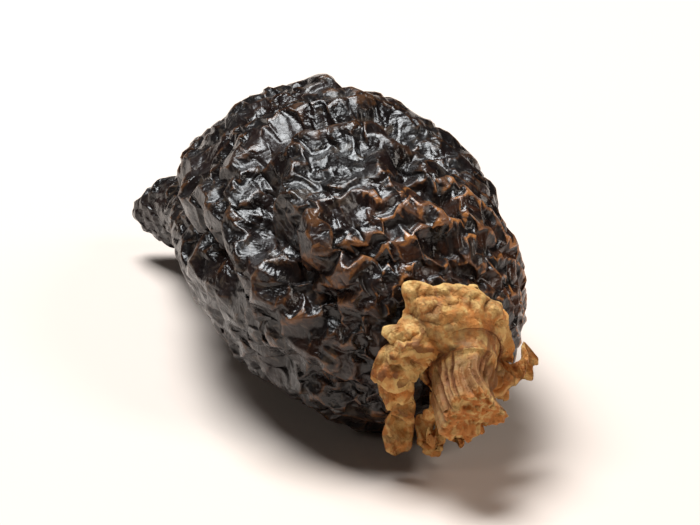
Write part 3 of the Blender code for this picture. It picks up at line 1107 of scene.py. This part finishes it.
@dataclass
class CalyxStem:
    """The dried calyx and its cut stem, one body.

    rim holds, by the angle seen from the stem: how far each lobe reaches over the pod, how far it
    stands off it, how far out it stands highest (1 for half way), and how far round its edge curls
    in degrees. stem holds places along the stem and its radius there, and drift how far its middle
    has moved along X and up. Pleats and fibres have a depth and how many go round, and the other
    patterns a depth and a span. A spoke is found again by its angle times key_scale, rounded.
    """

    form: PodForm
    rim: tuple = (
        (14.0, 5.8, 0.9, 1.0, 20.0),
        (34.0, 6.4, 1.0, 1.0, 10.0),
        (62.0, 7.0, 0.9, 1.0, 10.0),
        (86.0, 7.2, 0.8, 1.0, 5.0),
        (100.0, 7.6, 0.9, 1.0, 5.0),
        (115.0, 8.6, 0.9, 1.0, 8.0),
        (132.0, 7.2, 0.8, 1.1, 5.0),
        (142.0, 7.1, 0.8, 1.1, 5.0),
        (155.0, 7.9, 0.7, 1.1, 5.0),
        (167.0, 4.6, 0.4, 1.0, 20.0),
        (184.0, 4.2, 0.4, 1.0, 10.0),
        (205.0, 3.6, 0.1, 1.0, 10.0),
        (240.0, 3.6, 0.1, 1.0, 10.0),
        (258.0, 4.4, 0.3, 1.0, 10.0),
        (280.0, 5.2, 0.4, 1.0, 40.0),
        (306.0, 5.2, 0.4, 1.0, 30.0),
        (330.0, 5.4, 0.7, 1.0, 30.0),
        (354.0, 5.2, 0.6, 1.0, 30.0),
    )
    torn: tuple = ((0.12, 3.0), (0.05, 7.0))
    torn_height: float = 0.3
    foot: float = 3.3
    foot_rise: float = 3.6
    foot_rise_reach: float = 8.0
    breadth: float = 10.0
    thickness: float = 0.7
    gap: float = 0.35
    hinge: float = 0.6
    overhang: float = 1.04
    bulge_power: float = 0.7
    rise_powers: tuple = (1.5, 1.3)
    pleats: tuple = ((0.7, 2.2), (0.4, 4.5))
    pleat_height: float = 5.0
    crumples: tuple = ((1.6, 3.1), (0.9, 1.6), (0.3, 0.8))
    crumple_shift: float = 3.7
    crumple_start: tuple = (0.9, 0.35)
    meridian: tuple = (0.35, 71)
    nudges: tuple = (0.002, 0.01)
    stem: tuple = (
        (0.0, 3.3),
        (1.2, 2.85),
        (3.0, 2.5),
        (5.0, 2.45),
        (6.2, 2.6),
        (7.4, 2.8),
        (7.8, 2.6),
    )
    drift: tuple = (
        (0.0, 0.0, 0.0),
        (2.0, -0.6, -0.4),
        (4.0, -1.25, -1.1),
        (6.0, -1.45, -1.9),
        (8.2, -1.45, -2.8),
        (10.0, -1.4, -3.6),
    )
    ribs: int = 5
    rib_depth: float = 0.10
    rib_twist: float = 0.08
    fibres: tuple = ((0.16, 1.6), (0.11, 3.6), (0.04, 8.0))
    fibre_stretch: float = 0.028
    fibre_level: float = 0.4
    grown_shares: tuple = (0.05, 0.45)
    ragged: tuple = ((0.9, 1.3), (0.5, 0.5))
    ragged_share: float = 0.93
    ragged_draw: float = 4.0
    end_shares: tuple = (0.90, 0.99)
    stalk_start: tuple = (0.8, 2.6)
    stalk_stiffness: float = 0.85
    spokes: int = 300
    end_rings: int = 16
    stem_rings: int = 60
    calyx_rings: int = 50
    first_ring: float = 0.1
    edge_bulge: float = 0.2
    weld: float = 0.001
    lean_reach: float = 0.5
    key_scale: float = 1e4
    key_step: float = 1e-4
    paper_growth: float = 0.16
    crest_smoothing: int = 25
    pit_smoothing: int = 300

    def rise_at(self, angle: float) -> float:
        """How far up the stem the calyx starts at an angle in radians, most on top."""
        return self.foot_rise * (0.5 + 0.5 * math.sin(angle)) ** self.rise_powers[0]

    def rim_at(self, angle: float) -> tuple[float, float, float, float]:
        """The rim at an angle.

        Args:
            angle: The angle in radians.

        Returns:
            Its reach, how far it stands off, where it does so most, and its curl in radians.
        """
        degrees = math.degrees(angle) % 360.0
        rows = [(row[0], np.array(row[1:])) for row in self.rim]
        count = len(rows)
        after = next((k for k, row in enumerate(rows) if row[0] > degrees), count)
        before, start, end, beyond = (rows[(after + k) % count] for k in (-2, -1, 0, 1))
        t = ((degrees - start[0]) % 360.0) / ((end[0] - start[0]) % 360.0)
        reach, bulge, peak, curl = spline(before[1], start[1], end[1], beyond[1], t)
        around = Vector((math.cos(angle), math.sin(angle), self.torn_height))
        for share, scale in self.torn:
            reach *= 1.0 + share * noise.noise(around * scale)
        return reach, bulge, peak, math.radians(max(curl, 1.0))

    def shoulder_places(
        self, reach: np.ndarray, around: float
    ) -> tuple[np.ndarray, np.ndarray, np.ndarray]:
        """Places on the smooth pod along one meridian.

        Args:
            reach: How far each is from the stem end along the skin.
            around: The meridian's angle.

        Returns:
            The points, and the directions onward along the skin and outward from it.
        """
        end, count = self.meridian
        forward, sideward = self.nudges
        shares = np.linspace(0.0, end, count)
        meridian = self.form.surface(shares, np.full(len(shares), around))
        lengths = np.append(0.0, np.cumsum(np.linalg.norm(np.diff(meridian, axis=0), axis=1)))
        share = np.maximum(np.interp(reach, lengths, shares), forward)
        angle = np.full(len(share), around)
        point = self.form.surface(share, angle)
        onward = self.form.surface(share + forward, angle) - point
        sideways = self.form.surface(share, angle + sideward) - point
        outward = np.cross(onward, sideways)
        onward = onward / np.linalg.norm(onward, axis=1, keepdims=True)
        return point, onward, outward / np.linalg.norm(outward, axis=1, keepdims=True)

    def calyx_points(self, across: np.ndarray, angle: float, above: np.ndarray) -> np.ndarray:
        """Points of the calyx along one spoke.

        Args:
            across: How far each is from the middle of the turned blank.
            angle: The spoke's angle.
            above: How far each is above the calyx's underside.

        Returns:
            The points in millimetres.
        """
        reach, bulge, peak, curl = self.rim_at(angle)
        out = np.clip((across - self.foot) / (self.breadth - self.foot), 0.0, self.overhang)
        along = np.minimum(across, self.foot) + out * (reach - self.foot)
        hinge = self.foot + (reach - self.foot) * self.hinge
        flat, _, _ = self.shoulder_places(along, angle)
        place, onward, outward = self.shoulder_places(np.minimum(along, hinge), angle)
        turn = (curl * np.maximum(along - hinge, 0.0) / (reach - hinge))[:, None]
        radius = (reach - hinge) / curl
        bulge = bulge * np.sin(math.pi * np.minimum(out, 1.0) ** peak) ** self.bulge_power
        inward = np.minimum(across / self.foot, 1.0 - np.minimum(out, 1.0))
        rise = self.rise_at(angle) * inward ** self.rise_powers[1]
        around = Vector((math.cos(angle), math.sin(angle), self.pleat_height))
        pleat = out * sum(depth * abs(noise.noise(around * scale)) for depth, scale in self.pleats)
        wide, middling, small = (
            depth * noise_at(flat, span, self.crumple_shift * number)
            for number, (depth, span) in enumerate(self.crumples)
        )
        start, least = self.crumple_start
        soft = np.minimum(least + out, 1.0) * (across > start * self.foot)
        crumpled = out * np.abs(wide) + soft * (np.abs(middling) + small)
        off = (self.gap + rise + bulge + pleat + crumpled)[:, None]
        lift = off + radius * (1.0 - np.cos(turn))
        place = place + outward * lift + onward * radius * np.sin(turn)
        return place + (outward * np.cos(turn) - onward * np.sin(turn)) * above[:, None]

    def drift_at(self, along: float) -> np.ndarray:
        """How far the stem's middle has moved along X and up at a place along it."""
        places, x, up = zip(*self.drift)
        return np.array((np.interp(along, places, x), np.interp(along, places, up)))

    def stem_point(self, across: float, angle: float, along: float) -> tuple[Vector, float]:
        """A point of the stem from its foot.

        Args:
            across: How far it is from the blank's middle, up to the foot's radius.
            angle: The angle round the stem.
            along: The place along the stem.

        Returns:
            The point, in millimetres from the top of the calyx's middle, and how sunken it is.
        """
        share = along / self.stem[-1][0]
        lengths, radii = zip(*self.stem)
        round_it = Vector((math.cos(angle), math.sin(angle), self.fibre_stretch * along))
        ribs = self.rib_depth * math.cos(self.ribs * angle + self.rib_twist * along)
        fibres = sum(
            depth * (2.0 * abs(noise.noise(round_it * scale)) - self.fibre_level)
            for depth, scale in self.fibres
        )
        grown = 1.0 + smooth_step(*self.grown_shares, share) * (ribs + 2.0 * fibres)
        radius = across / self.foot * float(np.interp(along, lengths, radii)) * float(grown)
        x, up = radius * math.cos(angle), radius * math.sin(angle)
        torn = 0.0
        if share > self.ragged_share:
            spot = Vector((x, up, self.ragged_draw))
            torn = sum(depth * noise.noise(spot / span) for depth, span in self.ragged)
        drift = self.drift_at(along)
        near = self.lean_reach
        lean = self.drift_at(along + near) - self.drift_at(along - near)
        low = max(1.0 - along / self.foot_rise_reach, 0.0) ** 2
        out = along + low * self.rise_at(angle) + torn - x * lean[0] - up * lean[1]
        return Vector((x + drift[0], -out, up + drift[1])), -fibres

    def blank(self) -> list[tuple[float, float]]:
        """The profile of a stalk on a disc.

        Returns:
            Its points of (distance from the middle, height), from the middle of the stalk's end
            round to under the disc.
        """
        length, top = self.stem[-1][0], self.thickness
        widths = np.linspace(self.foot, self.breadth, self.calyx_rings + 1)
        profile = [(self.foot * k / self.end_rings, top + length) for k in range(self.end_rings)]
        rings = np.linspace(length, self.first_ring, self.stem_rings)
        profile += [(self.foot, top + height) for height in rings]
        profile += [(width, top) for width in widths[1:]]
        profile += [(self.breadth + self.edge_bulge, 0.5 * top)]
        profile += [(width, 0.0) for width in widths[::-1]]
        return profile + [(0.5 * self.foot, 0.0), (0.0, 0.0)]

    def turned(self) -> bmesh.types.BMesh:
        """Turn the blank.

        Returns:
            The closed body.
        """
        bm = bmesh.new()
        line = [bm.verts.new((across, 0.0, height)) for across, height in self.blank()]
        edges = [bm.edges.new(pair) for pair in zip(line, line[1:])]
        bmesh.ops.spin(
            bm,
            geom=line + edges,
            cent=(0.0, 0.0, 0.0),
            axis=(0.0, 0.0, 1.0),
            angle=math.tau,
            steps=self.spokes,
            use_merge=True,
        )
        bmesh.ops.remove_doubles(bm, verts=bm.verts, dist=self.weld)
        bmesh.ops.recalc_face_normals(bm, faces=bm.faces)
        return bm

    def build(self) -> bpy.types.Object:
        """Build the calyx and stem.

        Returns:
            The finished piece.
        """
        bm = self.turned()
        fibre, end, stalk = np.zeros((3, len(bm.verts)))
        points = np.zeros((len(bm.verts), 3))
        seat = Vector(self.calyx_points(np.zeros(1), 0.0, np.array((self.thickness,)))[0])
        spokes: dict[int, list[tuple[int, float, float]]] = {}
        bm.verts.index_update()
        for vert in bm.verts:
            across = math.hypot(vert.co.x, vert.co.y)
            angle = math.atan2(vert.co.y, vert.co.x)
            along = vert.co.z - self.thickness
            if along > self.weld:
                point, sunken = self.stem_point(across, angle, along)
                points[vert.index] = seat + point
                fibre[vert.index] = sunken
                stalk[vert.index] = along
                end[vert.index] = smooth_step(*self.end_shares, along / self.stem[-1][0])
            else:
                key = round(angle * self.key_scale)
                spokes.setdefault(key, []).append((vert.index, across, vert.co.z))
        for key, members in spokes.items():
            numbers, across, above = (np.array(column) for column in zip(*members))
            points[numbers] = self.calyx_points(across, key * self.key_step, above)
        hide = Hide(triangles_of(bm), points)
        mesh = mesh_of("calyx_and_stem", bm)
        stalk = smooth_step(*self.stalk_start, stalk)
        growth = self.paper_growth * (1.0 - self.stalk_stiffness * stalk)
        hide.shrivel(PAPER, growth * (1.0 - stalk), growth)
        hide.sharpen(PAPER_FACETS)
        smooth = hide.averaged(hide.points, self.crest_smoothing)
        broad = hide.averaged(smooth, self.pit_smoothing)
        # crest and pit drive painted light in the husk's colour: shade in the hollows and pits,
        # highlights on the crests.
        layers = {
            "crest": hide.proud(hide.points, smooth),
            "pit": hide.proud(broad, smooth),
            "fibre": fibre,
            "end": end,
            "stalk": stalk,
        }
        return finished(mesh, hide.points, layers, DriedHusk().material())


@dataclass(frozen=True)
class Strip:
    """A loose strip of the calyx.

    shift draws its own noise, and fresh is 1 where it shows the bright tissue of the stem's torn
    end. rows holds, from where it leaves the calyx: X and height from the middle of the seat, how
    far out it is, half its width, how far it leans about its course and how far its edges roll
    under, both in degrees.
    """

    name: str
    shift: float
    fresh: float
    rows: tuple
    steps: int = 70


FLAP = (
    (-1.4, 4.5, 2.9, 0.8, 10.0, 10.0),
    (-3.2, 3.9, 3.2, 1.5, 5.0, 30.0),
    (-5.4, 2.6, 3.0, 2.0, 0.0, 60.0),
    (-7.2, 0.3, 2.4, 2.5, -10.0, 60.0),
    (-6.7, -2.8, 1.3, 1.9, -5.0, 70.0),
    (-6.0, -4.5, 0.8, 1.5, 10.0, 75.0),
    (-5.9, -6.4, 0.5, 1.5, 0.0, 20.0),
    (-5.8, -7.9, 0.4, 1.4, -15.0, -30.0),
    (-5.5, -8.8, 0.3, 0.7, -20.0, -30.0),
)
RIGHT = (
    (2.4, -0.6, 1.1, 1.7, 20.0, -20.0),
    (4.2, -1.2, 0.9, 2.2, 20.0, -60.0),
    (5.5, -1.0, 1.1, 2.3, 15.0, -75.0),
    (6.5, -0.3, 1.5, 2.1, 10.0, -75.0),
    (7.2, 0.4, 1.8, 1.8, 5.0, -60.0),
)
RIGHT_EDGE = (
    (3.4, 3.6, 1.5, 0.7, 0.0, 20.0),
    (4.5, 1.9, 1.7, 0.8, -10.0, 60.0),
    (5.4, 0.6, 1.6, 0.7, -10.0, 60.0),
    (6.1, -0.4, 1.3, 0.4, -10.0, 60.0),
)
RIGHT_LOW = (
    (3.2, -1.8, 0.5, 1.0, 10.0, 20.0),
    (4.3, -2.5, 0.3, 1.3, 0.0, 50.0),
    (5.3, -3.7, 0.1, 1.2, -10.0, 60.0),
    (5.9, -4.8, -0.1, 0.6, -10.0, 60.0),
)
LOW_LEFT = (
    (-1.8, -3.4, 0.9, 1.0, 0.0, 20.0),
    (-2.4, -5.2, 1.1, 1.2, 0.0, 60.0),
    (-2.9, -6.8, 0.9, 1.3, 0.0, 100.0),
    (-3.3, -7.9, 1.4, 1.2, 0.0, 110.0),
    (-3.2, -7.7, 2.4, 0.8, 0.0, 100.0),
    (-3.0, -6.8, 2.6, 0.4, 0.0, 90.0),
)
LOW_MIDDLE = (
    (-0.3, -3.6, 0.9, 1.0, 0.0, 20.0),
    (-0.9, -6.0, 0.7, 1.2, 10.0, 60.0),
    (-1.6, -8.2, 0.6, 1.3, 10.0, 100.0),
    (-2.3, -9.4, 1.2, 1.1, 10.0, 110.0),
    (-2.3, -9.2, 2.3, 0.8, 10.0, 100.0),
    (-2.1, -8.3, 2.6, 0.4, 10.0, 90.0),
)
LOW_RIGHT = (
    (1.4, -3.2, 0.8, 1.0, 0.0, 20.0),
    (1.6, -5.4, 0.5, 1.2, -10.0, 60.0),
    (1.0, -7.4, 0.5, 1.2, -10.0, 90.0),
    (0.5, -8.5, 1.0, 0.8, -10.0, 100.0),
    (0.3, -8.4, 1.8, 0.4, -10.0, 90.0),
)


@dataclass
class Curls:
    """The loose, curled strips of the dried calyx."""

    strips: tuple = (
        Strip("flap", 0.0, 0.0, FLAP),
        Strip("right", 3.0, 0.0, RIGHT),
        Strip("right_edge", 18.0, 0.0, RIGHT_EDGE),
        Strip("right_low", 6.0, 0.0, RIGHT_LOW),
        Strip("low_left", 9.0, 1.0, LOW_LEFT),
        Strip("low_middle", 12.0, 1.0, LOW_MIDDLE),
        Strip("low_right", 15.0, 1.0, LOW_RIGHT),
    )
    bed_depth: float = 7.0
    thickness: float = 0.45
    steps_across: int = 26
    course_nudge: float = 0.01
    torn: tuple = ((0.3, 1.6), (0.25, 0.6))
    torn_scales: tuple = (2.5, 4.0, 2.0)
    least_half: float = 0.15
    least_roll: float = 1.0
    crumples: tuple = ((1.3, 2.6), (0.8, 1.2))
    growth: float = 0.16
    crest_smoothing: int = 25
    crest_share: float = 0.6

    @staticmethod
    def row_at(rows: np.ndarray, share: float) -> np.ndarray:
        """A strip's row at a place on its course.

        Args:
            rows: Its rows, with one more before and after them.
            share: The share of the course, 0 where it leaves the calyx.

        Returns:
            The blended row.
        """
        place = min(max(share, 0.0), COURSE_END) * (len(rows) - 3)
        first = int(place)
        return spline(*rows[first : first + 4], place - first)

    def sheet_point(self, strip: Strip, rows: np.ndarray, share: float, across: float) -> Vector:
        """A point of a strip's sheet.

        Args:
            strip: The strip.
            rows: Its rows, with one more before and after them.
            share: The share of its course, 0 where it leaves the calyx.
            across: The place across it, from -1 to 1.

        Returns:
            The point, in millimetres from the middle of the seat.
        """
        x, up, out, half, lean, roll = self.row_at(rows, share)
        nudge = self.course_nudge
        ahead, behind = (self.row_at(rows, share + step)[:3] for step in (nudge, -nudge))
        course = Vector((ahead[0] - behind[0], -(ahead[2] - behind[2]), ahead[1] - behind[1]))
        middle = Vector((x, -out, up))
        face = (middle - Vector((0.0, self.bed_depth, 0.0))).normalized()
        side = course.cross(face).normalized()
        face = side.cross(course).normalized()
        turn = Quaternion(course.normalized(), math.radians(lean))
        face, side = turn @ face, turn @ side
        along, away, scale = self.torn_scales
        edge = Vector((along * share + strip.shift, away * math.copysign(1.0, across), 0.0))
        half *= 1.0 + sum(depth * noise.noise(edge * (scale / span)) for depth, span in self.torn)
        half = max(half, self.least_half)
        roll = math.radians(roll if abs(roll) > self.least_roll else self.least_roll)
        angle = roll * across
        sideways = half * math.sin(angle) / roll
        under = half * (1.0 - math.cos(angle)) / roll
        sheet = middle + side * sideways - face * under
        draw = Vector((strip.shift, 0.0, 0.0))
        lift = sum(depth * noise.noise(sheet / span + draw) for depth, span in self.crumples)
        return sheet + face * lift

    def bent(self, strip: Strip) -> bpy.types.Mesh:
        """Bend a strip along its course.

        Args:
            strip: The strip.

        Returns:
            Its closed mesh.
        """
        bm = bmesh.new()
        bmesh.ops.create_grid(bm, x_segments=strip.steps, y_segments=self.steps_across, size=1.0)
        rows = np.array(strip.rows)
        rows = np.vstack((2.0 * rows[0] - rows[1], rows, 2.0 * rows[-1] - rows[-2]))
        for vert in bm.verts:
            vert.co = self.sheet_point(strip, rows, 0.5 + 0.5 * vert.co.x, vert.co.y)
        bmesh.ops.solidify(bm, geom=bm.faces[:], thickness=self.thickness)
        bmesh.ops.recalc_face_normals(bm, faces=bm.faces)
        bmesh.ops.triangulate(bm, faces=bm.faces)
        return mesh_of(strip.name, bm)

    def build(self) -> bpy.types.Object:
        """Build the strips.

        Returns:
            All of them as one finished piece.
        """
        whole = bmesh.new()
        fresh: list[float] = []
        for strip in self.strips:
            mesh = self.bent(strip)
            fresh += [strip.fresh] * len(mesh.vertices)
            whole.from_mesh(mesh)
            bpy.data.meshes.remove(mesh)
        triangles = triangles_of(whole)
        hide = Hide(triangles, np.array([vert.co for vert in whole.verts], float))
        mesh = mesh_of("calyx_curls", whole)
        growth = np.full(len(hide.points), self.growth)
        hide.shrivel(PAPER, growth, growth)
        hide.sharpen(PAPER_FACETS)
        smooth = hide.averaged(hide.points, self.crest_smoothing)
        # crest drives painted shade in the hollows and painted highlights on the crests of the
        # curls.
        layers = {
            "crest": self.crest_share * hide.proud(hide.points, smooth),
            "end": np.array(fresh),
        }
        points = hide.points + np.array((0.0, 0.0, SEAT_HEIGHT))
        return finished(mesh, points, layers, DriedHusk().material())


@dataclass
class Studio:
    """A pale cloth, soft light from above and behind, and the camera.

    A lamp has its name, its place in metres, its side in metres, its power in watts and its colour.
    """

    azimuth: float = -20.0
    elevation: float = 22.0
    distance: float = 0.6
    pixels_per_mm: float = 10.1
    image_width: int = 700
    sensor: float = 36.0
    nearest: float = 0.01
    calyx_off_centre: tuple = (10.2, -9.36)
    cloth_reach: float = 2.0
    sky: Colour = (1.0, 0.82, 0.68, 1.0)
    sky_strength: float = 0.018
    lamps: tuple = (
        ("behind", (-0.10, 0.28, 0.84), 0.46, 12.5, (0.95, 0.98, 1.0)),
        ("left", (-0.70, -0.20, 0.50), 0.18, 0.3, (1.0, 0.96, 0.92)),
        ("front", (0.45, -0.60, 0.70), 0.30, 3.0, (1.0, 0.92, 0.84)),
    )

    def floor(self) -> None:
        """The cloth that the pepper lies on."""
        bm = bmesh.new()
        bmesh.ops.create_grid(bm, x_segments=1, y_segments=1, size=self.cloth_reach)
        mesh = mesh_of("cloth", bm)
        mesh.materials.append(PaleCloth().material())
        linked("cloth", mesh)

    def lamp(self, name: str, place: tuple, size: float, power: float, colour: tuple) -> None:
        """A soft square lamp aimed at the pepper.

        Args:
            name: The lamp's name.
            place: Where it hangs, in metres.
            size: Its side in metres.
            power: Its power in watts.
            colour: Its colour.
        """
        light = bpy.data.lights.new(name, "AREA")
        light.size = size
        light.energy = power
        light.color = colour
        lamp = linked(name, light)
        lamp.location = place
        lamp.rotation_euler = (-Vector(place)).to_track_quat("-Z", "Y").to_euler()

    def light(self) -> None:
        """The lamps and the sky."""
        world = bpy.data.worlds.new("sky")
        world.use_nodes = True
        sky = world.node_tree.nodes["Background"]
        sky.inputs["Color"].default_value = self.sky
        sky.inputs["Strength"].default_value = self.sky_strength
        bpy.context.scene.world = world
        for lamp in self.lamps:
            self.lamp(*lamp)

    def camera(self) -> None:
        """The camera at the picture's angle, with the calyx in the picture's place."""
        azimuth, elevation = math.radians(self.azimuth), math.radians(self.elevation)
        level = math.cos(elevation)
        x, y = math.sin(azimuth) * level, -math.cos(azimuth) * level
        back = Vector((x, y, math.sin(elevation)))
        turn: Quaternion = (-back).to_track_quat("-Z", "Y")
        right, up = turn @ Vector((1.0, 0.0, 0.0)), turn @ Vector((0.0, 1.0, 0.0))
        calyx = Vector((SEAT[0], SEAT[1], SEAT_HEIGHT))
        off_x, off_y = self.calyx_off_centre
        aim = (calyx - right * off_x - up * off_y) * MM
        data = bpy.data.cameras.new("camera")
        data.sensor_width = self.sensor
        data.lens = data.sensor_width * self.distance / (self.image_width / self.pixels_per_mm * MM)
        data.clip_start = self.nearest
        camera = linked("camera", data)
        camera.location = aim + back * self.distance
        camera.rotation_mode = "QUATERNION"
        camera.rotation_quaternion = turn
        bpy.context.scene.camera = camera

    def build(self) -> None:
        """Set the stage."""
        self.floor()
        self.light()
        self.camera()
        bpy.context.scene.view_settings.view_transform = "Standard"


def main() -> None:
    """Build the pepper around its frame, and set the stage."""
    logging.basicConfig(level=logging.INFO, format="%(message)s")
    noise.seed_set(NOISE_SEED)
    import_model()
    form = PodForm()
    for maker, node, slot in (
        (Pod(form), Node.POD, Slot.SKIN),
        (CalyxStem(form), Node.HUSK, Slot.HUSK),
        (Curls(), Node.HUSK, Slot.HUSK),
    ):
        piece = maker.build()
        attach(piece, "root")
        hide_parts(node.value)
        log.info("%s: %d faces", piece.name, len(piece.data.polygons))
    Studio().build()


if __name__ == "__main__":
    main()
